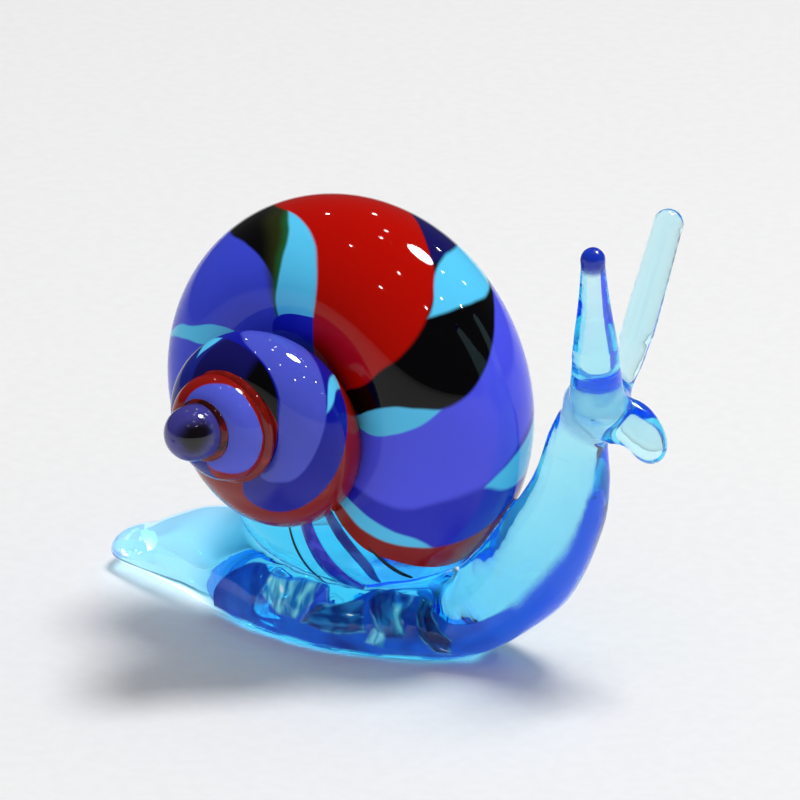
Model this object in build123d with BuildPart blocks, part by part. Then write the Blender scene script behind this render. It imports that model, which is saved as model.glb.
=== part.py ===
from build123d import *
import os
from math import asin, ceil, cos, degrees, radians, sin, sqrt

# Glass snail figurine, worked hot from clear aqua and coloured glass.
# Millimetres. The snail looks along +X, its shell's point faces -Y, +Z is up,
# and the origin is on the flat of the sole, where it rests.

# Foot: the flat body with its drawn-out tail
tail_length = 16.9
foot_front_length = 12.0
foot_width = 11.2
foot_height = 6.4

# Neck: rises from the front of the foot to the head
neck_reach = 9.8
neck_top_height = 18.9
neck_root_height = 2.2
neck_root_width = 7.6
neck_root_depth = 5.4
neck_top_diameter = 3.4

# Head, placed from the neck's top, with the mouth drooping in front of it
head_diameter = 4.4
head_ahead = 0.8
head_above = 0.9
mouth_length = 4.8
mouth_diameter = 2.8
mouth_reach = 1.65
mouth_place_angle = 18
mouth_droop_angle = 59

# Eye stalks, placed from the head's middle: the right one flares at its root,
# the left one is a rod waisted at its root
stalk_root_ahead = 0.9
stalk_root_side = 1.3
stalk_root_above = 0.2
stalk_tip_ahead = 2.5
stalk_tip_side = 4.45
stalk_tip_above = 11.6
right_root_diameter = 3.7
right_tip_diameter = 1.6
left_root_diameter = 1.5
left_rod_diameter = 2.2
right_eye_diameter = 1.8
left_eye_diameter = 2.05

# Shell: one round cane, coiled clockwise seen from its point
pole_forward = 2.2
pole_side = -18.7
pole_height = 18.6
shell_heading_angle = 4.5
shell_nod_angle = 1.0
coil_radius = 8.4
coil_reach = 19.4
cane_radius = 7.15
mouth_turn_angle = 200
turn_growth_ratio = 1.4
swell_growth_ratio = 1.94
swell_turn = -1.26
swell_turns = 1.67

# Point of the shell, the clear core that the coil is wound on, and two laid threads
apex_bead_diameter = 3.7
apex_bead_length = 5.0
apex_ring_thread = 0.7
apex_ring_reach = 3.6
collar_thread = 0.9
collar_angle = -20
collar_start_turn = -2.75
collar_end_turn = -2.0
core_tip_diameter = 2.0
core_middle_diameter = 7.0
core_back_diameter = 9.0
core_tip_reach = 3.2
core_middle_reach = 7.6
core_back_reach = 17.5
core_back_rise = 2.0

# Coloured lengths of the cane, each with the turn where it ends; turn 0 is the shell's lip
coil_start_turn = -3.0
coil_bands = (
    ("second_whorl", -2.08),
    ("third_whorl_navy_band", -1.5),
    ("third_whorl_lavender_band", -1.14),
    ("third_whorl_red_band", -0.97),
    ("rear_lavender_band", -0.62),
    ("rear_black_band", -0.56),
    ("rear_turquoise_band", -0.51),
    ("crown_red_band", -0.39),
    ("front_black_band", -0.33),
    ("front_turquoise_band", -0.30),
    ("front_lavender_band", -0.18),
    ("hem_red_band", -0.13),
    ("lip_turquoise_band", -0.11),
    ("lip_navy_stripe", -0.09),
    ("lip_aqua_band", -0.07),
    ("lip_lavender_stripe", -0.045),
    ("shell_lip", 0.0),
)
section_step_turns = 0.05
lip_dome_turns = 0.1
lip_dome_shares = (0.35, 0.65, 0.85, 0.97)

# Foot sections: place along it, width, top and how far the section's middle is up
foot_section_shares = (
    (0.000, 0.20, 0.24, 0.72),
    (0.010, 0.30, 0.28, 0.68),
    (0.032, 0.38, 0.33, 0.65),
    (0.090, 0.45, 0.42, 0.60),
    (0.160, 0.55, 0.59, 0.54),
    (0.250, 0.65, 0.78, 0.48),
    (0.380, 0.79, 0.94, 0.34),
    (0.540, 0.95, 1.00, 0.22),
    (0.720, 1.00, 0.97, 0.20),
    (0.880, 0.86, 0.87, 0.32),
)

# Neck route between its root and its top, and its section sizes along it
neck_route_shares = ((0.31, 0.15), (0.58, 0.32), (0.84, 0.59), (0.91, 0.74), (0.94, 0.88))
neck_section_shares = (
    (0.15, 0.90, 1.15),
    (0.30, 0.79, 1.27),
    (0.45, 0.70, 1.17),
    (0.62, 0.62, 1.02),
    (0.80, 0.54, 0.80),
)

# Mouth sections: place along it from its middle, and width
mouth_section_shares = (
    (-0.50, 0.45),
    (-0.30, 0.80),
    (-0.05, 0.98),
    (0.15, 1.00),
    (0.32, 0.86),
    (0.43, 0.60),
    (0.48, 0.36),
    (0.50, 0.12),
)

# Stalk thickness: place along the stalk, and how near it is to the root's size
right_stalk_shares = ((0, 1), (0.17, 0.94), (0.44, 0.66), (0.58, 0.46), (0.71, 0.26), (0.85, 0.1), (1, 0))
left_stalk_shares = (
    (0, 1),
    (0.12, 0.9),
    (0.24, 0.2),
    (0.33, 0),
    (0.5, 0),
    (0.66, 0.1),
    (0.83, 0.2),
    (1, 0.3),
)


def between(first, last, share):
    """The value that lies this share of the way from first to last."""
    return first + (last - first) * share


# Shell frame: the axis runs from the shell's base out through its point
heading, nod = radians(shell_heading_angle), radians(shell_nod_angle)
shell_axis = Vector(-sin(heading) * cos(nod), -cos(heading) * cos(nod), sin(nod))
shell_up = (Vector(0, 0, 1) - shell_axis * shell_axis.Z).normalized()
shell_side = shell_up.cross(shell_axis)
shell_pole = Vector(pole_forward, pole_side, pole_height)


def swell(turn):
    """How much of the swell into the body whorl is done at a turn, from 0 to 1."""
    share = min(max((turn - swell_turn) / swell_turns + 1 / 2, 0), 1)
    return share * share * (3 - 2 * share)


def coil_size(turn):
    """Size of the coil at a turn, as a share of its size at the lip."""
    return turn_growth_ratio**turn * swell_growth_ratio ** (swell(turn) - swell(0))


def coil_centre(turn):
    """Point on the coil's centre line."""
    angle = radians(mouth_turn_angle + 360 * turn)
    outward = shell_up * cos(angle) + shell_side * sin(angle)
    return shell_pole + (outward * coil_radius - shell_axis * coil_reach) * coil_size(turn)


def coil_plane(turn):
    """Plane square to the coil's centre line, with x pointing away from the axis."""
    step = section_step_turns / 100
    along = (coil_centre(turn + step) - coil_centre(turn - step)).normalized()
    angle = radians(mouth_turn_angle + 360 * turn)
    outward = shell_up * cos(angle) + shell_side * sin(angle)
    outward = (outward - along * outward.dot(along)).normalized()
    return Plane(origin=coil_centre(turn), x_dir=outward, z_dir=along)


def coil_turns(first, last):
    """Evenly spaced turns from first to last."""
    steps = ceil((last - first) / section_step_turns)
    return [between(first, last, step / steps) for step in range(steps + 1)]


def save(part, label):
    part.label = label
    export_step(part, f"parts/{label}.step")


os.makedirs("parts", exist_ok=True)

# Clear core in the middle of the coil, domed at the back
core_front = Plane(origin=shell_pole, x_dir=shell_side, z_dir=shell_side.cross(-shell_axis))
core_axis = Axis(shell_pole, -shell_axis)
core_back_radius = core_back_diameter / 2
core_back_curve = (core_back_radius**2 + core_back_rise**2) / (2 * core_back_rise)
core_back_centre = core_back_reach + core_back_rise - core_back_curve
core_back_sweep = degrees(asin(core_back_radius / core_back_curve))
core_back_start = 90 - core_back_sweep
with BuildPart() as shell_core:
    with BuildSketch(core_front):
        with BuildLine():
            flank = Polyline(
                (0, core_tip_reach),
                (core_tip_diameter / 2, core_tip_reach),
                (core_middle_diameter / 2, core_middle_reach),
                (core_back_radius, core_back_reach),
            )
            back = CenterArc((0, core_back_centre), core_back_curve, core_back_start, core_back_sweep)
            Line(back @ 1, flank @ 0)
        make_face()
    revolve(axis=core_axis)
save(shell_core.part, "shell_core")

# Bead at the shell's point
bead_radius = apex_bead_diameter / 2
with BuildPart() as apex_bead:
    with BuildSketch(core_front):
        with BuildLine():
            dome = CenterArc((0, bead_radius), bead_radius, 270, 90)
            waist = Line(dome @ 1, (bead_radius, apex_bead_length))
            Polyline(waist @ 1, (0, apex_bead_length), dome @ 0)
        make_face()
    revolve(axis=core_axis)
    add(shell_core.part, mode=Mode.SUBTRACT)
save(apex_bead.part, "apex_bead")

# Dark thread laid round the foot of the bead
with BuildPart() as apex_ring:
    with BuildSketch(core_front):
        with Locations((bead_radius, apex_ring_reach)):
            Circle(apex_ring_thread / 2)
    revolve(axis=core_axis)
    for piece in (shell_core, apex_bead):
        add(piece.part, mode=Mode.SUBTRACT)
save(apex_ring.part, "apex_ring")

# Red thread laid in the groove outside the second whorl
with BuildPart() as red_collar:
    for turn in coil_turns(collar_start_turn, collar_end_turn):
        groove = coil_plane(turn)
        edge_angle = radians(collar_angle)
        edge = groove.from_local_coords(
            Vector(cos(edge_angle), sin(edge_angle)) * cane_radius * coil_size(turn)
        )
        with BuildSketch(Plane(origin=edge, x_dir=groove.x_dir, z_dir=groove.z_dir)):
            Circle(collar_thread / 2)
    loft()
    add(shell_core.part, mode=Mode.SUBTRACT)
save(red_collar.part, "red_collar")

# Coloured lengths of the coil, as wound
wound = {}
band_start = coil_start_turn
for band_name, band_end in coil_bands:
    with BuildPart() as cane_length:
        for turn in coil_turns(band_start, band_end):
            with BuildSketch(coil_plane(turn)):
                Circle(cane_radius * coil_size(turn))
        if band_end == 0:
            for share in lip_dome_shares:
                with BuildSketch(coil_plane(lip_dome_turns * share)):
                    Circle(cane_radius * sqrt(1 - share**2))
        loft()
    wound[band_name] = (band_start, band_end, cane_length.part)
    band_start = band_end

# Each length is cut where it lies on the core, the point, the collar and the turn inside it
for band_name, (band_start, band_end, solid) in wound.items():
    inside = [shell_core.part, apex_bead.part, apex_ring.part, red_collar.part]
    for inner_start, inner_end, inner in wound.values():
        if inner_start < band_end - 1 / 2 and inner_end > band_start - 3 / 2:
            if inner_end <= band_start:
                inside.append(inner)
    with BuildPart() as band:
        add(solid)
        for piece in inside:
            add(piece, mode=Mode.SUBTRACT)
    save(band.part, band_name)

# Foot: a flat boat with its tail drawn out and just off the ground
with BuildPart() as foot:
    for along, width, top, middle in foot_section_shares:
        place = between(-tail_length, foot_front_length, along)
        top_height = foot_height * top
        middle_height = top_height * middle
        with BuildSketch(Plane.YZ.offset(place)):
            with Locations((0, middle_height)):
                Ellipse(foot_width * width / 2, top_height - middle_height)
    with BuildSketch(Plane.YZ.offset(foot_front_length)):
        with Locations((0, neck_root_height)):
            Ellipse(neck_root_width / 2, neck_root_depth / 2)
    loft()
    split(bisect_by=Plane.XY, keep=Keep.TOP)
    for *turns, piece in wound.values():
        add(piece, mode=Mode.SUBTRACT)
save(foot.part, "foot")

# Neck: curves up from the foot's front, getting slimmer
neck_root = Vector(foot_front_length, 0, neck_root_height)
neck_top = Vector(foot_front_length + neck_reach, 0, neck_top_height)
with BuildLine() as neck_route:
    Spline(
        neck_root,
        *[
            Vector(
                between(neck_root.X, neck_top.X, forward),
                0,
                between(neck_root.Z, neck_top.Z, rise),
            )
            for forward, rise in neck_route_shares
        ],
        neck_top,
        tangents=(Vector(1, 0, 0), neck_top - neck_root),
    )
neck_sections = [
    (0, neck_root_width, neck_root_depth),
    *[
        (along, neck_root_width * width, neck_root_depth * depth)
        for along, width, depth in neck_section_shares
    ],
    (1, neck_top_diameter, neck_top_diameter),
]
with BuildPart() as neck:
    for along, width, depth in neck_sections:
        centre, direction = neck_route.line @ along, neck_route.line % along
        with BuildSketch(Plane(origin=centre, x_dir=(0, 1, 0), z_dir=direction)):
            Ellipse(width / 2, depth / 2)
    loft()
    split(bisect_by=Plane.XY, keep=Keep.TOP)
    for *turns, piece in wound.values():
        add(piece, mode=Mode.SUBTRACT)
    add(foot.part, mode=Mode.SUBTRACT)
save(neck.part, "neck")

# Head: a round lump on the neck
head_centre = neck_top + Vector(head_ahead, 0, head_above)
with BuildPart() as head:
    with Locations(head_centre):
        Sphere(head_diameter / 2)
    add(neck.part, mode=Mode.SUBTRACT)
save(head.part, "head")

# Mouth: a drop hanging forward and down from the head
place_angle, droop = radians(mouth_place_angle), radians(mouth_droop_angle)
mouth_distance = head_diameter / 2 + mouth_reach
mouth_centre = head_centre + Vector(cos(place_angle), 0, -sin(place_angle)) * mouth_distance
mouth_direction = Vector(cos(droop), 0, -sin(droop))
with BuildPart() as mouth:
    for along, width in mouth_section_shares:
        centre = mouth_centre + mouth_direction * mouth_length * along
        with BuildSketch(Plane(origin=centre, x_dir=(0, 1, 0), z_dir=mouth_direction)):
            Circle(mouth_diameter * width / 2)
    loft()
    for piece in (head, neck):
        add(piece.part, mode=Mode.SUBTRACT)
save(mouth.part, "mouth")

# Eye stalks, spread apart and leaning forward, each with its bead
for side, name, root_diameter, tip_diameter, eye_diameter, stalk_shares in (
    (-1, "right", right_root_diameter, right_tip_diameter, right_eye_diameter, right_stalk_shares),
    (1, "left", left_root_diameter, left_rod_diameter, left_eye_diameter, left_stalk_shares),
):
    root = head_centre + Vector(stalk_root_ahead, side * stalk_root_side, stalk_root_above)
    tip = head_centre + Vector(stalk_tip_ahead, side * stalk_tip_side, stalk_tip_above)
    with BuildPart() as stalk:
        for along, flare in stalk_shares:
            centre = between(root, tip, along)
            with BuildSketch(Plane(origin=centre, x_dir=(0, 1, 0), z_dir=tip - root)):
                Circle(between(tip_diameter, root_diameter, flare) / 2)
        loft()
        for piece in (head, mouth):
            add(piece.part, mode=Mode.SUBTRACT)
    save(stalk.part, f"{name}_eye_stalk")
    with BuildPart() as eye:
        with Locations(tip):
            Sphere(eye_diameter / 2)
        add(stalk.part, mode=Mode.SUBTRACT)
    save(eye.part, f"{name}_eye_bead")
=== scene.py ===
from math import cos, pi, radians, sin, sqrt

import bmesh
import bpy
from mathutils import Matrix, Vector


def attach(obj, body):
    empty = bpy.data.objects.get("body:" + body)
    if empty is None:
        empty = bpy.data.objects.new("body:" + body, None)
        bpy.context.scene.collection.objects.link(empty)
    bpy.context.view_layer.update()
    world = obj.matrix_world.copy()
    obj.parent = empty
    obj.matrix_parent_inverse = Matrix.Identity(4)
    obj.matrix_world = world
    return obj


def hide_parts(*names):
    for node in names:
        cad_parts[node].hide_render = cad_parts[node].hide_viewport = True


# Glass snail figurine, looking along +X. Tables are in millimetres, and meshes in metres.

MM = 0.001
PER_METRE = 1000
WELD = 1e-7

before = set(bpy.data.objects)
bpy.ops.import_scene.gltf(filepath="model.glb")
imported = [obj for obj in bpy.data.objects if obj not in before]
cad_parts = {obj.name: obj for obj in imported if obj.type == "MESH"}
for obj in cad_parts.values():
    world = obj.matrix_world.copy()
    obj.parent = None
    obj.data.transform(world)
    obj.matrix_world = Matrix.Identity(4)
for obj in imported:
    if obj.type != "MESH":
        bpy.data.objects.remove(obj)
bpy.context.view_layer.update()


# Shader maths


class Value:
    """One node output, with the operators that the patterns use."""

    def __init__(self, tree, socket):
        self.tree, self.socket = tree, socket

    def math(self, operation, *others, clamp=False):
        settings = {"operation": operation, "use_clamp": clamp}
        return node(self.tree, "Math", settings, dict(enumerate((self, *others))))

    def __add__(self, other):
        return self.math("ADD", other)

    def __sub__(self, other):
        return self.math("SUBTRACT", other)

    def __rsub__(self, other):
        return (self * -1) + other

    def __mul__(self, other):
        return self.math("MULTIPLY", other)

    __radd__, __rmul__ = __add__, __mul__

    def output(self, name):
        """Another output of the same node."""
        return Value(self.tree, self.socket.node.outputs[name])

    def ramp(self, low, high):
        """0 below low, 1 above high, and smooth between them."""
        inputs = {"Value": self, "From Min": low, "From Max": high}
        return node(self.tree, "MapRange", {"interpolation_type": "SMOOTHSTEP"}, inputs)


def node(tree, kind, settings=None, inputs=None, output=0):
    """A new node: its settings first, then the values or links of its sockets."""
    made = tree.nodes.new("ShaderNode" + kind)
    for name, setting in (settings or {}).items():
        if name == "points":
            bend(made.mapping, setting)
        else:
            setattr(made, name, setting)
    for name, given in (inputs or {}).items():
        if isinstance(given, Value):
            tree.links.new(given.socket, made.inputs[name])
        else:
            made.inputs[name].default_value = given
    return Value(tree, made.outputs[output])


def bend(mapping, points):
    """Lays a smooth curve through (place, height) points, all from 0 to 1."""
    line = mapping.curves[0]
    while len(line.points) < len(points):
        line.points.new(0.5, 0.5)
    for handle, point in zip(line.points, points):
        handle.location = point
    mapping.extend = "HORIZONTAL"
    mapping.update()


def curve(value, points):
    """The height at value of the smooth curve through the points."""
    return node(value.tree, "FloatCurve", {"points": points}, {"Value": value})


def away_from(place, point):
    """How far a place is from a point that is given in millimetres, in millimetres."""
    inputs = {0: place, 1: point * MM}
    return node(place.tree, "VectorMath", {"operation": "DISTANCE"}, inputs, output=1) * PER_METRE


def mix(share, first, second):
    """A colour that is share of the way from first to second."""
    inputs = {0: share, 6: first, 7: second}
    return node(share.tree, "Mix", {"data_type": "RGBA"}, inputs, output=2)


def colour(red, green, blue):
    """A colour picked on screen, as the light that a shader wants."""
    linear = []
    for part in (red, green, blue):
        part = part / 255
        linear.append(part / 12.92 if part <= 0.04045 else ((part + 0.055) / 1.055) ** 2.4)
    return (*linear, 1.0)


def new_material(name):
    """An empty node material, its tree and its shader."""
    material = bpy.data.materials.new(name)
    material.use_nodes = True
    tree = material.node_tree
    return material, tree, tree.nodes["Principled BSDF"]


def link(value, shader, socket):
    value.tree.links.new(value.socket, shader.inputs[socket])


# Mesh helpers


def finish_mesh(bm, name, material, closed=True):
    """Turns a bmesh into a smooth object with one material."""
    if closed:
        bmesh.ops.recalc_face_normals(bm, faces=bm.faces)
    for face in bm.faces:
        face.smooth = True
    mesh = bpy.data.meshes.new(name)
    bm.to_mesh(mesh)
    bm.free()
    mesh.materials.append(material)
    made = bpy.data.objects.new(name, mesh)
    bpy.context.collection.objects.link(made)
    return made


def tube(bm, place, rows, columns):
    """A grid rolled up into a closed tube: place(along, around) gives each point, both from 0 to 1."""
    made = bmesh.ops.create_grid(bm, x_segments=rows, y_segments=columns, size=0.5, calc_uvs=True)
    for vert in made["verts"]:
        along, around = vert.co.x + 0.5, vert.co.y + 0.5
        vert.co = place(along, around)
    bmesh.ops.remove_doubles(bm, verts=made["verts"], dist=WELD)


def between(first, last, share):
    return first + (last - first) * share


def clamped(share):
    return min(max(share, 0), 1)


def eased(share):
    """The share from 0 to 1, with a slow start and a slow end."""
    return share * share * (3 - 2 * share)


def smooth_table(table, place):
    """The row of a table at a place along it, eased between its rows."""
    last = len(table) - 1
    index = 0
    while index < last - 1 and table[index + 1][0] < place:
        index += 1
    low, high = table[index], table[index + 1]
    span = high[0] - low[0]
    share = clamped((place - low[0]) / span)
    before = table[max(index - 1, 0)]
    after = table[min(index + 2, last)]
    row = []
    for column in range(1, len(low)):
        slope_low = (high[column] - before[column]) / (high[0] - before[0]) * span
        slope_high = (after[column] - low[column]) / (after[0] - low[0]) * span
        rest = eased(share)
        lead = share * (1 - share) ** 2
        tail = share * share * (share - 1)
        row.append(between(low[column], high[column], rest) + slope_low * lead + slope_high * tail)
    return row


# The coil of the shell

POLE = Vector((2.2, -18.7, 18.6)) * MM
HEADING, NOD = radians(4.5), radians(1.0)
COIL_RADIUS, COIL_REACH, CANE_RADIUS = 8.4 * MM, 19.4 * MM, 7.15 * MM
MOUTH_TURN = 200
TURN_GROWTH, SWELL_GROWTH, SWELL_TURN, SWELL_TURNS = 1.4, 1.94, -1.26, 1.67
DOME_TURNS = 0.1

# A place in the banded glass that is all one colour, for the flat ends of a length.
END_PLACE = (0.9425, 0.75)

AXIS = Vector((-sin(HEADING) * cos(NOD), -cos(HEADING) * cos(NOD), sin(NOD)))
UP = (Vector((0, 0, 1)) - AXIS * AXIS.z).normalized()
SIDE = UP.cross(AXIS)


def swell(turn):
    """How much of the coil's extra growth is over at a turn."""
    return eased(clamped((turn - SWELL_TURN) / SWELL_TURNS + 0.5))


def coil_size(turn):
    """How big the coil is at a turn, compared with the shell's mouth."""
    return TURN_GROWTH**turn * SWELL_GROWTH ** (swell(turn) - swell(0))


def coil_centre(turn):
    """The middle of the cane at a turn, and the way out from the axis there."""
    angle = radians(MOUTH_TURN + 360 * turn)
    outward = UP * cos(angle) + SIDE * sin(angle)
    return POLE + (outward * COIL_RADIUS - AXIS * COIL_REACH) * coil_size(turn), outward


def coil_point(turn, angle, radius):
    """A point on the cane. Angle 0 faces away from the axis, and 90 towards the shell's point."""
    step = 0.0005
    centre, outward = coil_centre(turn)
    along = (coil_centre(turn + step)[0] - coil_centre(turn - step)[0]).normalized()
    outward = (outward - along * outward.dot(along)).normalized()
    pointward = outward.cross(along)
    if pointward.dot(AXIS) < 0:
        pointward = -pointward
    angle = radians(angle)
    return centre + (outward * cos(angle) + pointward * sin(angle)) * radius


ANGLES = (-180, -90, -60, -30, -15, 0, 15, 30, 45, 60, 75, 90, 105, 180)


def at_angle(turns, angle):
    """The turn of an edge that runs across the cane, where the edge gives its turn at ANGLES."""
    return smooth_table(tuple(zip(ANGLES, turns)), angle)[0]


def whorl(name, first, last, rows, columns, material, slant=None):
    """A length of the coil. slant is the edge where it ends, if that isn't square to the coil."""

    def turn_at(along, angle):
        return between(first, at_angle(slant, angle) if slant else last, along)

    def place(along, around):
        angle = between(-180, 180, around)
        turn = turn_at(along, angle)
        return coil_point(turn, angle, CANE_RADIUS * coil_size(turn))

    bm = bmesh.new()
    uv = bm.loops.layers.uv.new("UVMap")
    tube(bm, place, rows, columns)
    for face in bm.faces:
        for loop in face.loops:
            along, around = loop[uv].uv
            loop[uv].uv.x = (turn_at(along, between(-180, 180, around)) - first) / (last - first)
    ends = [edge for edge in bm.edges if edge.is_boundary]
    for edge in ends:
        edge.smooth = False
    caps = bmesh.ops.holes_fill(bm, edges=ends)["faces"]
    for cap in caps:
        for loop in cap.loops:
            loop[uv].uv = END_PLACE
    return finish_mesh(bm, name, material)


# Banded glass

# How far the edges of the bands waver, in turns.
WAVER = 0.003


def banded_glass(name, first, last, base, regions):
    """Coloured glass. Each region is painted between two edges that run across the cane, or
    from one edge on: each edge gives its turn at ANGLES."""
    material, tree, shader = new_material(name)
    uv = node(tree, "UVMap", {"uv_map": "UVMap"})
    along = node(tree, "SeparateXYZ", {}, {0: uv})
    around = along.output("Y")
    span = last - first
    waver = node(tree, "TexNoise", {"noise_dimensions": "3D"}, {
        "Vector": node(tree, "TexCoord", output=3),
        "Scale": 420.0,
        "Detail": 2.0,
    })
    along = along + (waver - 0.5) * (WAVER / span)

    def edge(turns, softness):
        points = [
            ((angle + 180) / 360, clamped((turn - first) / span))
            for angle, turn in zip(ANGLES, turns)
        ]
        gap = along - curve(around, points)
        return gap.ramp(-softness / span, softness / span)

    painted = None
    for paint, left, right, softness in regions:
        share = None
        if left:
            share = edge(left, softness)
        if right:
            before = 1 - edge(right, softness)
            share = share * before if share else before
        painted = mix(share, painted or base, paint)
    link(painted, shader, "Base Color")
    shader.inputs["Roughness"].default_value = 0.04
    shader.inputs["Specular IOR Level"].default_value = 0.27
    return material


LAVENDER = colour(80, 86, 244)
VIOLET = colour(62, 76, 222)
DUSK = colour(76, 86, 204)
BLUE = colour(26, 36, 196)
DEEP = colour(26, 38, 140)
DEEP_BLUE = colour(16, 24, 158)
PALE_LAVENDER = colour(84, 94, 214)
NAVY = colour(20, 18, 92)
BLACK = colour(3, 3, 5)
OLIVE = colour(40, 44, 14)
TURQUOISE = colour(90, 208, 255)
GREEN = colour(30, 96, 50)
RED = colour(182, 10, 1)
HEM_RED = colour(142, 20, 11)

BODY_FIRST, BODY_LAST = -1.0, -0.13
RED_RIGHT = (-0.56, -0.55, -0.53, -0.50, -0.48, -0.4575, -0.43, -0.411, -0.3975,
             -0.389, -0.385, -0.378, -0.38, -0.37)
BLACK_RIGHT = (-0.46, -0.45, -0.43, -0.40, -0.385, -0.365, -0.347, -0.334, -0.330,
               -0.332, -0.333, -0.333, -0.334, -0.33)
LAVENDER_RIGHT = (-0.35, -0.34, -0.32, -0.295, -0.285, -0.272, -0.2575, -0.25, -0.24,
                  -0.225, -0.2175, -0.2125, -0.205, -0.19)
HEM_LEFT = (-0.29, -0.28, -0.265, -0.245, -0.23, -0.215, -0.2025, -0.1925, -0.184,
            -0.175, -0.169, -0.1675, -0.16, -0.15)
HEM_RIGHT = (-0.23, -0.22, -0.205, -0.19, -0.18, -0.171, -0.165, -0.1625, -0.159,
             -0.151, -0.149, -0.149, -0.147, -0.14)

BODY_REGIONS = (
    # The third whorl's red carries on a little way behind the shell.
    (HEM_RED, None, (-0.95, -0.95, -0.95, -0.94, -0.94, -0.94, -0.93, -0.93, -0.93,
                     -0.94, -0.95, -0.96, -0.96, -0.96), 0.006),
    # The pale leaf at the back.
    (TURQUOISE,
     (-0.77, -0.77, -0.77, -0.77, -0.77, -0.77, -0.77, -0.775, -0.774,
      -0.768, -0.763, -0.758, -0.742, -0.74),
     (-0.78, -0.78, -0.78, -0.78, -0.78, -0.78, -0.78, -0.778, -0.768,
      -0.751, -0.74, -0.713, -0.693, -0.69), 0.002),
    (BLACK,
     (-0.64, -0.64, -0.63, -0.64, -0.64, -0.645, -0.65, -0.642, -0.622,
      -0.597, -0.5775, -0.56, -0.55, -0.55),
     None, 0.003),
    (OLIVE,
     (-0.66, -0.65, -0.64, -0.63, -0.62, -0.61, -0.60, -0.600, -0.590, -0.586, -0.585, -0.58, -0.57, -0.56),
     None, 0.012),
    (GREEN,
     (-0.58, -0.58, -0.58, -0.58, -0.58, -0.58, -0.582, -0.580, -0.573,
      -0.574, -0.577, -0.584, -0.585, -0.585),
     None, 0.007),
    (TURQUOISE,
     (-0.58, -0.58, -0.58, -0.58, -0.58, -0.58, -0.582, -0.574, -0.566,
      -0.567, -0.571, -0.579, -0.58, -0.58),
     None, 0.0025),
    (BLUE,
     (-0.40, -0.40, -0.40, -0.40, -0.40, -0.40, -0.40, -0.40, -0.40, -0.40, -0.42, -0.507, -0.60, -0.64),
     None, 0.003),
    (RED,
     (-0.66, -0.65, -0.64, -0.63, -0.62, -0.61, -0.595, -0.562, -0.536,
      -0.5225, -0.512, -0.507, -0.50, -0.48),
     None, 0.003),
    (BLACK, RED_RIGHT, None, 0.003),
    (NAVY, RED_RIGHT,
     (-0.52, -0.50, -0.47, -0.444, -0.441, -0.439, -0.442, -0.46, -0.46,
      -0.46, -0.46, -0.46, -0.46, -0.46), 0.002),
    (TURQUOISE,
     (-0.47, -0.47, -0.46, -0.445, -0.441, -0.439, -0.430, -0.409, -0.40,
      -0.40, -0.40, -0.40, -0.40, -0.40),
     (-0.48, -0.475, -0.44, -0.405, -0.3975, -0.3975, -0.400, -0.404, -0.41,
      -0.41, -0.41, -0.41, -0.41, -0.41), 0.0022),
    (LAVENDER, BLACK_RIGHT, None, 0.0025),
    (TURQUOISE,
     (-0.32, -0.32, -0.32, -0.32, -0.32, -0.32, -0.32, -0.32, -0.329,
      -0.336, -0.342, -0.341, -0.330, -0.31),
     (-0.34, -0.34, -0.34, -0.34, -0.34, -0.34, -0.34, -0.34, -0.330,
      -0.3175, -0.3095, -0.304, -0.312, -0.33), 0.002),
    (BLUE, LAVENDER_RIGHT, None, 0.005),
    (TURQUOISE,
     (-0.30, -0.30, -0.30, -0.285, -0.2775, -0.2688, -0.2575, -0.24, -0.24,
      -0.24, -0.24, -0.24, -0.24, -0.24),
     (-0.31, -0.30, -0.27, -0.245, -0.2425, -0.245, -0.2525, -0.26, -0.26,
      -0.26, -0.26, -0.26, -0.26, -0.26), 0.0025),
    (TURQUOISE,
     (-0.17, -0.17, -0.17, -0.17, -0.17, -0.17, -0.18, -0.188, -0.195,
      -0.1925, -0.19, -0.186, -0.18, -0.18),
     None, 0.002),
    (HEM_RED, HEM_LEFT, None, 0.0025),
)

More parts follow.
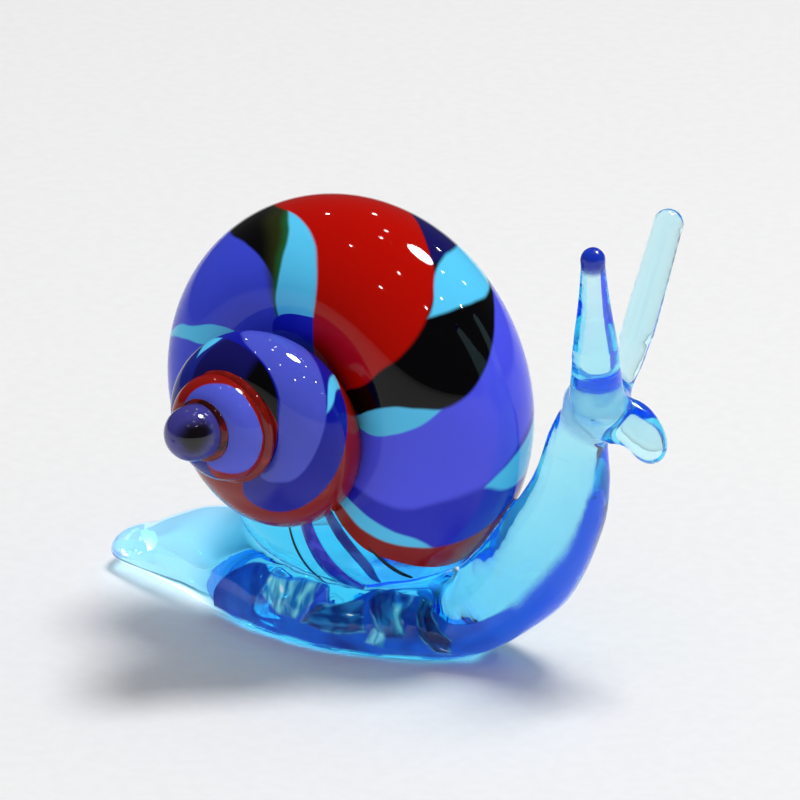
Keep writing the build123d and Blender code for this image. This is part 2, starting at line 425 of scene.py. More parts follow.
THIRD_FIRST, THIRD_LAST = -2.08, -1.0
THIRD_REGIONS = (
    (TURQUOISE,
     (-1.60, -1.60, -1.60, -1.62, -1.63, -1.63, -1.63, -1.635, -1.645, -1.65, -1.65, -1.65, -1.65, -1.65),
     (-1.61, -1.60, -1.59, -1.57, -1.572, -1.575, -1.583, -1.602, -1.645,
      -1.67, -1.67, -1.67, -1.67, -1.67), 0.004),
    (NAVY,
     (-1.40, -1.40, -1.40, -1.45, -1.50, -1.54, -1.565, -1.59, -1.617, -1.65, -1.68, -1.72, -1.75, -1.75),
     None, 0.006),
    (BLACK,
     (-1.30, -1.30, -1.30, -1.35, -1.40, -1.44, -1.46, -1.48, -1.49, -1.495, -1.50, -1.50, -1.50, -1.50),
     None, 0.012),
    (HEM_RED,
     (-1.20, -1.20, -1.20, -1.20, -1.20, -1.20, -1.20, -1.20, -1.20, -1.20, -1.30, -1.68, -1.75, -1.78),
     None, 0.010),
    (DEEP_BLUE,
     (-1.70, -1.70, -1.70, -1.70, -1.66, -1.62, -1.59, -1.54, -1.47, -1.415, -1.378, -1.30, -1.19, -1.19),
     None, 0.006),
    (DUSK,
     (-1.50, -1.50, -1.50, -1.52, -1.54, -1.55, -1.54, -1.52, -1.46, -1.405, -1.368, -1.28, -1.18, -1.18),
     (-1.49, -1.48, -1.46, -1.43, -1.40, -1.37, -1.335, -1.305, -1.27,
      -1.23, -1.205, -1.18, -1.18, -1.18), 0.006),
    (TURQUOISE,
     (-1.36, -1.36, -1.36, -1.37, -1.37, -1.358, -1.335, -1.32, -1.32, -1.32, -1.32, -1.32, -1.32, -1.32),
     (-1.33, -1.33, -1.33, -1.345, -1.35, -1.34, -1.335, -1.34, -1.34,
      -1.34, -1.34, -1.34, -1.34, -1.34), 0.003),
    (HEM_RED,
     (-1.42, -1.40, -1.37, -1.35, -1.31, -1.275, -1.234, -1.194, -1.147,
      -1.109, -1.0875, -1.098, -1.12, -1.14),
     None, 0.005),
)

SECOND_FIRST, SECOND_LAST = -3.0, -2.08
SECOND_REGIONS = (
    (PALE_LAVENDER,
     (-2.2, -2.2, -2.2, -2.2, -2.25, -2.30, -2.475, -2.52, -2.565, -2.61, -2.66, -2.72, -2.9, -2.9),
     (-2.4, -2.4, -2.4, -2.4, -2.35, -2.30, -2.20, -2.17, -2.15,
      -2.125, -2.09, -2.05, -2.05, -2.05), 0.012),
)

body_glass = banded_glass("banded shell glass", BODY_FIRST, BODY_LAST, VIOLET, BODY_REGIONS)
third_glass = banded_glass("banded inner glass", THIRD_FIRST, THIRD_LAST, DEEP, THIRD_REGIONS)
second_glass = banded_glass("banded tip glass", SECOND_FIRST, SECOND_LAST, HEM_RED, SECOND_REGIONS)

body_whorl = whorl("body_whorl", BODY_FIRST, BODY_LAST, 330, 220, body_glass, slant=HEM_RIGHT)
third_whorl = whorl("third_whorl", THIRD_FIRST, THIRD_LAST, 260, 120, third_glass)
second_whorl = whorl("second_turn", SECOND_FIRST, SECOND_LAST, 200, 72, second_glass)

BODY_NODES = (
    "rear_lavender_band", "rear_black_band", "rear_turquoise_band", "crown_red_band",
    "front_black_band", "front_turquoise_band", "front_lavender_band", "hem_red_band",
)
THIRD_NODES = ("third_whorl_navy_band", "third_whorl_lavender_band", "third_whorl_red_band")
for piece, nodes, slot in (
    (body_whorl, BODY_NODES, "red_glass"),
    (third_whorl, THIRD_NODES, "lavender_glass"),
    (second_whorl, ("second_whorl",), "lavender_glass"),
):
    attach(piece, "root")
    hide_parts(*nodes)


# Ribbons in the clear lip

# Where the ribbons lie, as a share of the cane's radius.
RIBBON_DEPTH = 0.997


def ribbon(name, edges, thickness, material):
    """A ribbon of coloured glass that runs across the lip, just under its skin. Each row of
    edges is an angle round the cane and the turns of the ribbon's two edges there."""
    first, last = edges[0][0], edges[-1][0]
    bm = bmesh.new()
    made = bmesh.ops.create_grid(bm, x_segments=60, y_segments=4, size=0.5)
    for vert in made["verts"]:
        angle = between(first, last, vert.co.x + 0.5)
        low, high = smooth_table(edges, angle)
        turn = between(low, high, vert.co.y + 0.5)
        vert.co = coil_point(turn, angle, CANE_RADIUS * coil_size(turn) * RIBBON_DEPTH)
    bmesh.ops.solidify(bm, geom=bm.faces[:], thickness=thickness)
    made = finish_mesh(bm, name, material)
    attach(made, "root")
    return made


def streaked_glass(name, dark, light, scale):
    """Opaque glass with a streak of a second colour."""
    material, tree, shader = new_material(name)
    streak = node(tree, "TexNoise", {}, {
        "Vector": node(tree, "TexCoord", output=3),
        "Scale": scale,
        "Detail": 3.0,
        "Distortion": 0.6,
    })
    link(mix(streak.ramp(0.45, 0.6), dark, light), shader, "Base Color")
    shader.inputs["Roughness"].default_value = 0.04
    shader.inputs["Specular IOR Level"].default_value = 0.45
    return material


navy_ribbon = ribbon("navy_ribbon", (
    (34, -0.121, -0.120), (41, -0.128, -0.1205), (50, -0.137, -0.126), (62, -0.1425, -0.13),
    (75, -0.145, -0.13), (90, -0.145, -0.13), (130, -0.145, -0.13),
), 0.12 * MM, streaked_glass("navy ribbon glass", colour(22, 40, 150), colour(40, 90, 190), 400))
lavender_ribbon = ribbon("lavender_ribbon", (
    (24, -0.090, -0.088), (32, -0.0985, -0.082), (45, -0.1015, -0.080), (75, -0.1015, -0.081),
    (130, -0.1000, -0.084),
), 0.12 * MM, streaked_glass("lavender ribbon glass", BLUE, LAVENDER, 400))
black_thread = ribbon("black_thread", (
    (30, -0.0612, -0.0604), (40, -0.0624, -0.0596), (112, -0.0624, -0.0596),
), 0.08 * MM, streaked_glass("black thread glass", BLACK, NAVY, 400))
hem_thread = ribbon("hem_thread", (
    (25, -0.1440, -0.1420), (35, -0.1480, -0.1445), (57, -0.1560, -0.1535), (62, -0.1565, -0.1555),
), 0.08 * MM, streaked_glass("dark hem thread glass", BLACK, colour(8, 6, 20), 500))
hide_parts("lip_navy_stripe")
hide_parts("lip_lavender_stripe")


# The clear body

# Sections of the foot and neck, in millimetres: way along, x, z, lean in degrees, half width,
# half height and shift to the left.
BODY_SECTIONS = (
    (0.00, -16.90, 1.30, 0, 0.00, 0.00, 0.30),
    (0.05, -16.85, 1.31, 0, 0.75, 0.45, 0.30),
    (0.20, -16.70, 1.33, 0, 1.35, 0.75, 0.30),
    (0.50, -16.40, 1.36, 0, 1.90, 1.02, 0.30),
    (1.00, -15.90, 1.42, 0, 2.30, 1.22, 0.30),
    (1.60, -15.30, 1.50, 0, 2.58, 1.36, 0.30),
    (2.60, -14.30, 1.66, 0, 2.85, 1.54, 0.28),
    (4.60, -12.30, 2.10, 0, 3.42, 2.17, 0.27),
    (7.20, -9.70, 2.37, 0, 3.86, 2.97, 0.17),
    (11.00, -5.90, 2.10, 0, 4.42, 3.95, 0.00),
    (15.60, -1.30, 1.41, 0, 5.32, 4.99, 0.00),
    (20.80, 3.90, 1.24, 0, 5.60, 4.97, 0.00),
    (25.40, 8.50, 1.78, 0, 4.82, 3.79, 0.00),
    (28.90, 12.00, 2.30, 10, 3.80, 2.75, 0.00),
    (32.84, 15.04, 4.70, 43, 3.39, 3.12, 0.00),
    (36.70, 17.68, 7.54, 55, 2.95, 3.40, 0.00),
    (41.90, 20.23, 12.05, 65, 2.48, 2.93, 0.00),
    (44.50, 20.92, 14.56, 78, 2.22, 2.50, 0.00),
    (46.90, 21.21, 16.90, 78, 1.97, 2.05, 0.00),
    (48.95, 21.80, 18.90, 74, 1.70, 1.70, 0.00),
)

# Tool marks pressed into the sole: middle, half length, half width, turn and depth.
SOLE_DENTS = (
    (-2.4, 0.8, 1.9, 1.5, 20, 0.9),
    (2.4, -0.8, 1.7, 1.2, -25, 0.8),
    (5.4, 0.4, 1.4, 1.7, 15, 1.1),
)

# The fold where the deep blue painted over the sole ends, as painted shade and reflection of the thick
# glass there: x and height in millimetres.
FOLD = (
    (-8.0, 0.0), (-6.0, 0.0), (-5.4, 1.6), (-4.5, 2.9), (-3.2, 4.0), (-1.5, 4.7), (-0.4, 4.45),
    (0.9, 4.5), (3.2, 4.45), (4.3, 4.4), (5.1, 3.7), (6.1, 3.8), (7.0, 4.3), (7.7, 4.7), (8.9, 4.65),
    (10.5, 4.45), (11.9, 4.25), (13.8, 3.65), (14.9, 3.75), (16.4, 4.5), (17.9, 5.9), (19.3, 7.55),
    (20.6, 9.2), (21.6, 10.7), (22.5, 12.9), (23.2, 15.0), (24.0, 15.0),
)
FOLD_START, FOLD_LENGTH, FOLD_TOP = -8, 32, 17
FOLD_RISE = 0.24
# How much lower the fold is on the left of the snail.
LEFT_FOLD_DROP = 3.4

# Lumps pressed out along the right of the sole: middle x and height, half length, half height,
# lean and rise.
LUMPS = (
    (1.4, 3.2, 2.6, 1.5, 3, 0.40),
    (5.6, 2.6, 2.7, 1.4, 5, 0.40),
    (9.1, 3.3, 1.5, 1.9, -25, 0.35),
    (12.2, 2.8, 2.3, 1.2, -45, 0.45),
)


def ease(value, low, high):
    """0 below low, 1 above high, and smooth between them."""
    return eased(clamped((value - low) / (high - low)))


def ridge_height(marks, x, y):
    """How high the marks rise at a place: each one is a flat-sided hump."""
    height = 0
    for middle_x, middle_y, long, wide, turned, rise in marks:
        ahead, beside = x - middle_x, y - middle_y
        turned = radians(turned)
        along = (ahead * cos(turned) + beside * sin(turned)) / long
        across = (beside * cos(turned) - ahead * sin(turned)) / wide
        height += rise * max(1 - max(abs(along), abs(across)), 0)
    return height


# The rows of points lie closer together towards the tail.
TAIL_CROWDING = 1.25


def body_place(along, around):
    """A point on the skin of the foot and neck."""
    way = BODY_SECTIONS[-1][0] * along**TAIL_CROWDING
    x, z, lean, half_width, half_height, shift = smooth_table(BODY_SECTIONS, way)
    if along == 1:
        half_width = half_height = 0
    angle, lean = 2 * pi * around, radians(lean)
    y = half_width * cos(angle)
    rise = half_height * sin(angle)
    x, z = x - rise * sin(lean), z + rise * cos(lean)
    if y < 0:
        (fold,) = smooth_table(FOLD, x)
        outward = ease(-y, 0.4, 1.4) * ease(z, 0.3, 1.2)
        length = ease(x, -4.5, -1.5) * (1 - ease(x, 12, 14.5))
        step = FOLD_RISE * ease(fold - z, -0.45, 0.25) * length
        y -= (step + ridge_height(LUMPS, x, z)) * outward
    return Vector((x, y + shift, max(z, ridge_height(SOLE_DENTS, x, y)))) * MM


# The turn where the clear lip starts, and its size as a share of the cane's.
LIP_FIRST, LIP_SHARE = -0.30, 0.99


def lip_place(along, around):
    """The clear end of the shell: a length of the coil, domed at its end."""
    turn = between(LIP_FIRST, DOME_TURNS, along)
    radius = CANE_RADIUS * coil_size(min(turn, 0)) * LIP_SHARE
    if turn > 0:
        radius *= sqrt(max(1 - (turn / DOME_TURNS) ** 2, 0))
    if along == 0:
        radius = 0
    return coil_point(turn, between(-180, 180, around), radius)


HEAD = Vector((22.6, 0, 19.8))
HEAD_DIAMETER = 4.55
# The left stalk's ends, seen from the head. The right stalk is its mirror image.
STALK_ROOT, STALK_TIP = Vector((0.9, 1.3, 0.2)), Vector((2.5, 4.45, 11.6))
STALK_SINK = 0.6
RIGHT = Vector((1, -1, 1))
RIGHT_TIP = HEAD + STALK_TIP * RIGHT
RIGHT_CUP = HEAD + (STALK_ROOT + (STALK_TIP - STALK_ROOT).normalized() * 1.2) * RIGHT


def straight_place(first, last, widths):
    """A round form along a straight line: widths are (place, diameter)."""
    direction = (last - first).normalized()
    across = direction.orthogonal().normalized()
    beside = direction.cross(across)

    def place(along, around):
        (width,) = smooth_table(widths, along)
        if along in (0, 1):
            width = 0
        angle = 2 * pi * around
        centre = first.lerp(last, along)
        return (centre + (across * cos(angle) + beside * sin(angle)) * width / 2) * MM

    return place


MOUTH_CENTRE = HEAD + Vector((cos(radians(18)), 0, -sin(radians(18)))) * 3.85
MOUTH_DROOP = Vector((cos(radians(59)), 0, -sin(radians(59)))) * 2.4
MOUTH_JOIN = HEAD.lerp(MOUTH_CENTRE, 0.6) + Vector((0, 0, -0.25))
SMALL_DROP = Vector((24.0, -0.5, 17.5))
MOUTH_WIDTHS = (
    (0.0, 1.0), (0.04, 1.30), (0.2, 2.24), (0.45, 2.74), (0.65, 2.8),
    (0.82, 2.41), (0.93, 1.68), (0.98, 1.0), (1.0, 0.4),
)
RIGHT_WIDTHS = (
    (0.0, 1.6), (0.05, 3.1), (0.12, 3.65), (0.19, 3.62), (0.44, 2.99), (0.58, 2.57),
    (0.71, 2.15), (0.85, 1.81), (0.96, 1.62), (1.0, 1.6),
)
LEFT_WIDTHS = (
    (0.0, 1.5), (0.12, 1.57), (0.24, 2.06), (0.33, 2.2), (0.5, 2.2), (0.66, 2.13), (0.83, 2.06),
    (0.96, 1.99), (1.0, 1.95),
)


def ball(bm, centre, diameter):
    made = bmesh.ops.create_uvsphere(bm, u_segments=48, v_segments=32, radius=diameter / 2 * MM)
    bmesh.ops.translate(bm, verts=made["verts"], vec=centre * MM)


def fused(name, bm, voxel, material, smoothing, low, high, rounds):
    """Fuses overlapping closed forms into one skin, as hot glass flows together. The skin is
    smoothed further between the corners low and high."""
    made = finish_mesh(bm, name, material)
    remesh = made.modifiers.new("fuse", "REMESH")
    remesh.mode = "VOXEL"
    remesh.voxel_size = voxel
    smooth = made.modifiers.new("flow", "SMOOTH")
    smooth.iterations = smoothing
    smooth.factor = 0.5
    evaluated = made.evaluated_get(bpy.context.evaluated_depsgraph_get())
    mesh = bpy.data.meshes.new_from_object(evaluated)
    made.modifiers.clear()
    old = made.data
    made.data = mesh
    bpy.data.meshes.remove(old)
    mesh.name = name
    bm = bmesh.new()
    bm.from_mesh(mesh)
    soft = [vert for vert in bm.verts if all(low[i] < vert.co[i] / MM < high[i] for i in range(3))]
    for _ in range(rounds):
        bmesh.ops.smooth_vert(bm, verts=soft, factor=0.5, use_axis_x=True, use_axis_y=True,
                              use_axis_z=True)
    for face in bm.faces:
        face.smooth = True
    bm.to_mesh(mesh)
    bm.free()
    return made


def clear_glass(name, tint, density):
    """Clear glass whose colour comes from its depth."""
    material, tree, shader = new_material(name)
    shader.inputs["Base Color"].default_value = (1, 1, 1, 1)
    shader.inputs["Transmission Weight"].default_value = 1.0
    shader.inputs["Roughness"].default_value = 0.0
    shader.inputs["IOR"].default_value = 1.5
    ripple = node(tree, "TexNoise", {}, {
        "Vector": node(tree, "TexCoord", output=3),
        "Scale": 260.0,
        "Detail": 1.0,
    })
    bump = node(tree, "Bump", {}, {"Strength": 0.06, "Distance": 0.4 * MM, "Height": ripple})
    link(bump, shader, "Normal")
    absorb = node(tree, "VolumeAbsorption", {}, {"Color": tint, "Density": density})
    link(absorb, tree.nodes["Material Output"], "Volume")
    return material


# Facets painted into the deep blue over the sole, with painted shade and light along their streaks: their
# corners in x and height, the lean of their streaks, and their dark and light colours.
FACETS = (
    (((3.3, 2.3), (4.9, 3.4), (4.5, 4.2), (3.6, 4.5)), 60, colour(20, 48, 190), colour(50, 92, 230)),
    (((1.0, 2.0), (2.7, 2.1), (3.7, 3.35), (3.4, 4.4), (-0.2, 4.3), (-0.8, 3.0)), 96,
     colour(14, 108, 190), colour(120, 222, 240)),
    (((3.0, 1.9), (5.85, 1.5), (8.0, 2.1), (7.3, 4.1), (5.8, 3.72), (4.0, 3.3)), 12,
     colour(4, 44, 124), colour(28, 118, 190)),
    (((9.4, 1.9), (10.4, 2.0), (10.2, 4.5), (7.7, 4.7), (7.6, 4.0)), -48,
     colour(4, 24, 112), colour(24, 112, 186)),
    (((10.0, 2.2), (10.6, 2.2), (9.7, 4.0), (9.2, 4.0)), -65, colour(24, 124, 180), colour(100, 216, 226)),
    (((12.4, 1.1), (13.2, 0.9), (13.8, 2.3), (11.9, 4.25), (10.5, 4.4)), -47,
     colour(2, 12, 72), colour(14, 70, 150)),
    (((7.8, 1.3), (9.1, 1.1), (9.4, 2.2), (8.6, 2.7)), 70, colour(24, 140, 200), colour(150, 240, 250)),
)

# The blue edge along the bottom of the clear lip.
LIP_EDGE = ((6.9, 4.5), (12.4, 6.2), (12.4, 6.5), (9.0, 5.65), (7.0, 4.95))


def within(x, z, corners):
    """How far inside an outline of straight sides a place lies, in millimetres."""
    depth = None
    for (x1, z1), (x2, z2) in zip(corners, corners[1:] + corners[:1]):
        length = sqrt((x2 - x1) ** 2 + (z2 - z1) ** 2)
        inward_x, inward_z = (z1 - z2) / length, (x2 - x1) / length
        side = x * inward_x + z * inward_z - (x1 * inward_x + z1 * inward_z)
        depth = depth.math("MINIMUM", side) if depth else side
    return depth


def paint_skin_light_and_shade(material):
    """Paints light and shade on the clear skin: deep blue over the sides of the sole as painted
    shade and reflection, mid blue over the head, and painted light in the tail and the lip."""
    tree = material.node_tree
    clear = tree.nodes["Principled BSDF"]
    place = node(tree, "TexCoord", output=3)
    rumple = node(tree, "TexNoise", {}, {"Vector": place, "Scale": 330.0, "Detail": 2.0})
    where = node(tree, "SeparateXYZ", {}, {"Vector": place})
    x = where * PER_METRE + (rumple - 0.5) * 0.9
    y = where.output("Y") * PER_METRE
    z = where.output("Z") * PER_METRE + (rumple - 0.5) * 0.7
    right = 1 - y.ramp(-1.5, 0.5)
    neck = x.ramp(14.5, 18.5)

    # The painted deep blue shade and reflection ends sharply at the fold over the sole, and softly up the
    # neck.
    points = [((at - FOLD_START) / FOLD_LENGTH, height / FOLD_TOP) for at, height in FOLD]
    fold = curve((x - FOLD_START) * (1 / FOLD_LENGTH), points) * FOLD_TOP
    fold = fold - y.ramp(-1.0, 2.0) * LEFT_FOLD_DROP
    deep = ((fold - z) * (7.0 - neck * 6.3)).ramp(0.0, 1.0) * z.ramp(0.12, 0.5)
    deep = deep * (1 - neck * y.ramp(-0.6, 1.0))
    cloud = node(tree, "TexNoise", {}, {"Vector": place, "Scale": 190.0, "Detail": 3.0, "Distortion": 0.8})
    paint = mix(cloud.ramp(0.36, 0.64), colour(4, 46, 158), colour(14, 92, 218))
    paint = mix(neck, paint, colour(14, 84, 222))
    # Painted shade darkens the deep blue on the right from x 6.5 to 15 mm, above the bottom.
    dark = x.ramp(6.5, 9.0) * (1 - x.ramp(12.5, 15.0)) * z.ramp(1.2, 2.4) * right
    paint = mix(dark * 0.6, paint, colour(2, 26, 112))

    height = deep * 0.6
    for corners, lean, dark, light in FACETS:
        lean = radians(lean)
        depth = within(x, z, corners)
        inside = depth.ramp(-0.10, 0.22) * right
        along = x * cos(lean) + z * sin(lean)
        across = z * cos(lean) - x * sin(lean)
        grain = node(tree, "CombineXYZ", {}, {"X": along * 0.5, "Y": across * 1.35})
        streak = node(tree, "TexNoise", {}, {
            "Vector": grain, "Scale": 1.3, "Detail": 1.0, "Distortion": 0.4,
        })
        # Painted light and shade: each facet runs from its dark to its light colour along its streaks, with
        # painted white glints.
        facet = mix(streak.ramp(0.38, 0.70), dark, light)
        facet = mix(streak.ramp(0.66, 0.72) * cloud.ramp(0.5, 0.56), facet, colour(225, 250, 255))
        # A painted highlight runs along the inside of the facet's edge.
        edge = (1 - depth.ramp(0.08, 0.26)) * streak.ramp(0.48, 0.60)
        paint = mix(inside, paint, mix(edge * 0.45, facet, colour(110, 220, 240)))
        height = height + inside * 0.35 + inside * streak * 0.6

    # The head and the root of the right stalk are mid blue, and that stalk's tip is deep blue.
    head = (1 - away_from(place, HEAD).ramp(2.1, 2.9)) * 0.55
    head = head.math("MAXIMUM", (1 - away_from(place, RIGHT_CUP).ramp(1.9, 2.5)) * 0.6)
    head_blue = mix(cloud.ramp(0.4, 0.6), colour(64, 156, 240), colour(130, 208, 252))
    paint = mix(head.math("MULTIPLY", 1.8, clamp=True), paint, head_blue)
    tip = 1 - away_from(place, RIGHT_TIP).ramp(0.85, 1.25)
    paint = mix(tip, paint, colour(18, 48, 186))
    head = head.math("MAXIMUM", tip * 0.92)
    share = (deep * 0.975).math("MAXIMUM", head)

    # Painted light makes the tail pale, with painted bright light under it and a painted dark line of shade
    # above that.
    tail = (1 - x.ramp(-8.5, -2.5)) * (1 - deep)
    paint = mix(tail, paint, colour(120, 200, 235))
    line = z.ramp(0.95, 1.15) * (1 - z.ramp(1.2, 1.4)) * right * tail
    paint = mix(line, paint, colour(20, 60, 90))
    under = (1 - z.ramp(0.85, 1.05)) * tail * right * x.ramp(-16.0, -15.0)
    for part in (tail * 0.40, line * 0.75, under * 0.9):
        share = share.math("MAXIMUM", part)

    # Painted light makes the lip bright under the hem, and its bottom edge is blue.
    lip = x.ramp(5.0, 8.5) * (1 - x.ramp(12.0, 14.5)) * z.ramp(4.3, 5.0)
    lip = lip * (1 - z.ramp(7.0, 8.5)) * right * (1 - deep)
    paint = mix(lip, paint, colour(63, 190, 247))
    share = share.math("MAXIMUM", lip * 0.55)
    hem = within(x, z, LIP_EDGE).ramp(0.0, 0.1) * right
    paint = mix(hem, paint, colour(14, 70, 214))
    share = share.math("MAXIMUM", hem * 0.9)

    # Clear glass has a thin painted dark outline of shade where it is seen edge on, and a few specks in it.
    facing = node(tree, "LayerWeight", {}, {"Blend": 0.5}, output=1)
    behind = node(tree, "NewGeometry", output=6)
    outline = facing.ramp(0.82, 0.99) * (1 - behind) * (1 - deep)
    paint = mix(outline, paint, colour(20, 86, 140))
    share = share.math("MAXIMUM", outline * 0.7)
    cells = node(tree, "TexVoronoi", {}, {"Vector": place, "Scale": 230.0})
    speck = 1 - cells.ramp(0.030, 0.055)
    paint = mix(speck, paint, colour(16, 60, 140))
    share = share.math("MAXIMUM", speck * 0.8)

    # From inside, nearly all of the skin is clear.
    share = share * (1 - behind * 0.9)

    # Painted glow: emission paints light into the pale tail, under it and into the lip, and lifts the deep
    # blue and the lip's blue edge a little.
    none = (0, 0, 0, 1)
    glow = mix(tail * (1 - line) * (1 - outline), none, (0.56, 0.80, 0.98, 1))
    glow = mix(deep, glow, paint)
    glow = mix(hem, mix(lip, glow, (0.05, 0.52, 0.92, 1)), paint)
    glow = mix(under, mix(deep * 0.72, glow, none), (0.95, 1.0, 1.0, 1))
    bump = node(tree, "Bump", {}, {"Strength": 0.7, "Distance": 0.4 * MM, "Height": height})
    painted = node(tree, "BsdfPrincipled", {}, {
        "Base Color": paint, "Roughness": 0.05, "Specular IOR Level": 0.5, "Normal": bump,
        "Emission Color": glow, "Emission Strength": 0.9,
    })
    both = node(tree, "MixShader", {}, {0: share, 1: Value(tree, clear.outputs["BSDF"]), 2: painted})
    link(both, tree.nodes["Material Output"], "Surface")


aqua = clear_glass("clear aqua glass", (0.02, 0.85, 1.0, 1), 235)
paint_skin_light_and_shade(aqua)

bm = bmesh.new()
tube(bm, body_place, rows=240, columns=128)
tube(bm, lip_place, rows=90, columns=110)
ball(bm, HEAD, HEAD_DIAMETER)
mouth_place = straight_place(MOUTH_CENTRE - MOUTH_DROOP, MOUTH_CENTRE + MOUTH_DROOP, MOUTH_WIDTHS)
tube(bm, mouth_place, rows=60, columns=48)
ball(bm, MOUTH_JOIN, diameter=2.9)
ball(bm, SMALL_DROP, diameter=0.75)
for side, widths, tip_diameter in ((-1, RIGHT_WIDTHS, 1.7), (1, LEFT_WIDTHS, 2.05)):
    flip = Vector((1, side, 1))
    root, tip = HEAD + STALK_ROOT * flip, HEAD + STALK_TIP * flip
    root += (root - tip).normalized() * STALK_SINK
    tube(bm, straight_place(root, tip, widths), rows=80, columns=40)
    ball(bm, tip, tip_diameter)
clear_body = fused("clear_body", bm, 0.174 * MM, aqua, smoothing=10,
                   low=(20.5, -4, 16.2), high=(29, 4, 24.0), rounds=50)
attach(clear_body, "root")
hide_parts("foot", "neck", "head", "mouth", "right_eye_stalk", "left_eye_stalk",
            "left_eye_bead", "lip_turquoise_band", "lip_aqua_band", "shell_lip")


# The blue cap on the right eye

CAP_DIAMETER, CAP_DEPTH = 1.5, 0.28

eye_glass = streaked_glass("cobalt eye glass", colour(8, 40, 190), colour(60, 120, 235), 900)
stalk_line = (STALK_TIP - STALK_ROOT) * RIGHT
cut = RIGHT_TIP - stalk_line.normalized() * CAP_DEPTH
bm = bmesh.new()
ball(bm, RIGHT_TIP, CAP_DIAMETER)
bmesh.ops.bisect_plane(bm, geom=bm.verts[:] + bm.edges[:] + bm.faces[:], plane_co=cut * MM,
                       plane_no=-stalk_line, clear_outer=True)
bmesh.ops.holes_fill(bm, edges=[edge for edge in bm.edges if edge.is_boundary])
right_eye_cap = finish_mesh(bm, "right_eye_cap", eye_glass)
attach(right_eye_cap, "root")
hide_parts("right_eye_bead")


# The bead, the threads and the core

# The dark heart that shows on the right of the bead at the shell's point.
BEAD_HEART = Vector((3.4, -17.95, 18.85))

bead_glass, tree, shader = new_material("violet bead glass")
place = node(tree, "TexCoord", output=3)
cloud = node(tree, "TexNoise", {}, {"Vector": place, "Scale": 500.0, "Detail": 2.0})
heart = away_from(place, BEAD_HEART) + (cloud - 0.5) * 1.4
paint = mix(heart.ramp(0.55, 1.55), colour(10, 4, 12), colour(62, 58, 140))
paint = mix(heart.ramp(2.0, 2.9), paint, colour(52, 30, 60))
link(paint, shader, "Base Color")
shader.inputs["Roughness"].default_value = 0.03
shader.inputs["Specular IOR Level"].default_value = 0.6

# A dark red thread lies in the groove between the bead and the whorl behind it.
GROOVE_RADIUS, GROOVE_BEHIND, THREAD_RADIUS = 1.78 * MM, 2.95, 0.42 * MM

groove = POLE - AXIS * GROOVE_BEHIND * MM
groove_glass = streaked_glass("brown red glass", colour(52, 8, 6), colour(110, 18, 12), 600)
bm = bmesh.new()
bmesh.ops.create_circle(bm, segments=24, radius=THREAD_RADIUS)
bmesh.ops.translate(bm, verts=bm.verts, vec=(GROOVE_RADIUS, 0, 0))
bmesh.ops.rotate(bm, verts=bm.verts, matrix=Matrix.Rotation(pi / 2, 3, "X"))
bmesh.ops.spin(bm, geom=bm.verts[:] + bm.edges[:], axis=(0, 0, 1), steps=96, angle=2 * pi)
bmesh.ops.remove_doubles(bm, verts=bm.verts, dist=WELD)
bmesh.ops.rotate(bm, verts=bm.verts, matrix=AXIS.to_track_quat("Z", "Y").to_matrix())
bmesh.ops.translate(bm, verts=bm.verts, vec=groove)
groove_thread = finish_mesh(bm, "groove_thread", groove_glass)
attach(groove_thread, "root")
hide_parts("apex_ring")

FINISHES = {
    "apex_bead": bead_glass,
    "red_collar": streaked_glass("dark red thread glass", colour(120, 16, 10), colour(150, 30, 20), 500),
    # The core is pale blue glass, painted lighter as the light that shows through it into the clear lip.
    "shell_core": streaked_glass("pale blue core glass", colour(120, 205, 245), colour(180, 232, 252), 300),
}
for name, finish in FINISHES.items():
    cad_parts[name].data.materials.clear()
    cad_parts[name].data.materials.append(finish)


# Floor, light and camera

FLOOR_SIZE, FLOOR_GAP = 3.0, 0.03 * MM

floor_material, tree, shader = new_material("pale card")
shader.inputs["Roughness"].default_value = 0.6
shader.inputs["Specular IOR Level"].default_value = 0.1
grain = node(tree, "TexNoise", {}, {
    "Vector": node(tree, "TexCoord", output=3), "Scale": 900.0, "Detail": 2.0,
})
link(mix(grain.ramp(0.3, 0.7), (0.86, 0.86, 0.86, 1), (0.88, 0.88, 0.88, 1)), shader, "Base Color")
bm = bmesh.new()
bmesh.ops.create_grid(bm, x_segments=2, y_segments=2, size=FLOOR_SIZE)
bmesh.ops.translate(bm, verts=bm.verts, vec=(0, 0, -FLOOR_GAP))
floor = finish_mesh(bm, "floor", floor_material, closed=False)

TARGET = Vector((7.0, 0, 16.8)) * MM
CAMERA_DISTANCE = 0.4
azimuth, elevation = radians(35), radians(20)
towards_camera = Vector((sin(azimuth) * cos(elevation), -cos(azimuth) * cos(elevation), sin(elevation)))
camera_data = bpy.data.cameras.new("camera")
camera_data.lens = 270
camera_data.sensor_width = 36
camera_data.clip_start = 0.01
camera = bpy.data.objects.new("camera", camera_data)
camera.location = TARGET + towards_camera * CAMERA_DISTANCE
camera.rotation_euler = (-towards_camera).to_track_quat("-Z", "Y").to_euler()
bpy.context.collection.objects.link(camera)
bpy.context.scene.camera = camera


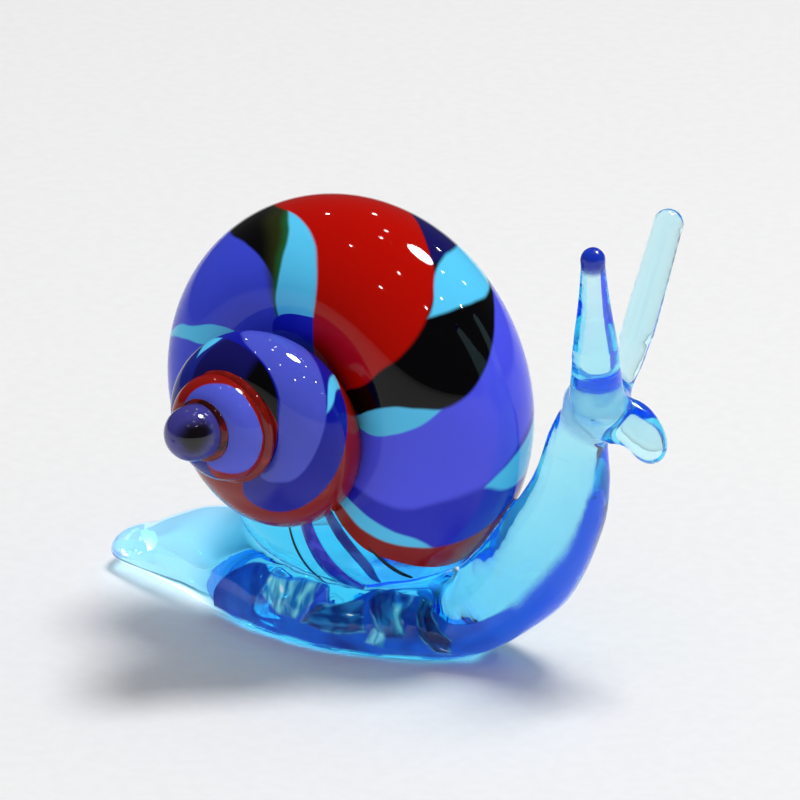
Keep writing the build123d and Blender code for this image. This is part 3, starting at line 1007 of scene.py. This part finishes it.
def lamp(name, direction, distance, size, radiance, in_gloss):
    """A round lamp that looks at the snail, and either lights it or shows in its gloss.
    Its power follows from how bright it looks."""
    data = bpy.data.lights.new(name, "AREA")
    data.shape = "DISK"
    data.size = size
    data.energy = radiance * pi * pi * (size / 2) ** 2
    made = bpy.data.objects.new(name, data)
    direction = Vector(direction).normalized()
    made.location = TARGET + direction * distance
    made.rotation_euler = direction.to_track_quat("Z", "Y").to_euler()
    made.visible_glossy = in_gloss
    made.visible_diffuse = not in_gloss
    bpy.context.collection.objects.link(made)


lamp("soft_box", (0.22, 0.15, 1.0), 0.8, 0.26, 25.5, in_gloss=False)
lamp("main_lamp", (0.241, 0.417, 0.876), 0.7, 0.17, 60, in_gloss=True)
for number, direction in enumerate((
    (-0.516, 0.325, 0.793), (-0.309, 0.630, 0.713), (-0.076, 0.389, 0.918), (-0.027, 0.185, 0.982),
    (-0.165, -0.276, 0.947), (0.310, -0.246, 0.918), (0.182, -0.656, 0.732), (0.090, 0.784, 0.614),
    (0.410, 0.494, 0.767), (0.386, 0.735, 0.557), (0.656, 0.077, 0.751), (0.689, 0.368, 0.624),
    (0.626, -0.318, 0.712),
)):
    lamp("ceiling_spot_%d" % number, direction, 0.7, 0.022, 90, in_gloss=True)

# The room is bright, but its reflections are dark and it lights the floor by less than half.
REFLECTION_LOSS, FLOOR_LIGHT_LOSS = 0.93, 0.55

world = bpy.data.worlds.new("studio")
bpy.context.scene.world = world
world.use_nodes = True
tree = world.node_tree
tree.nodes["Background"].inputs["Color"].default_value = (1, 1, 1, 1)
ray = node(tree, "LightPath", output="Is Glossy Ray")
glossy = (ray - ray.output("Is Transmission Ray")).math("MAXIMUM", 0.0)
diffuse = ray.output("Is Diffuse Ray")
strength = 1.0 - glossy * REFLECTION_LOSS - diffuse * FLOOR_LIGHT_LOSS
link(strength, tree.nodes["Background"], "Strength")

# Thick glass throws light about inside it many times.
bounces = bpy.context.scene.cycles
bounces.max_bounces = 28
bounces.glossy_bounces = 20
bounces.transmission_bounces = 28
bpy.context.scene.view_settings.view_transform = "Standard"
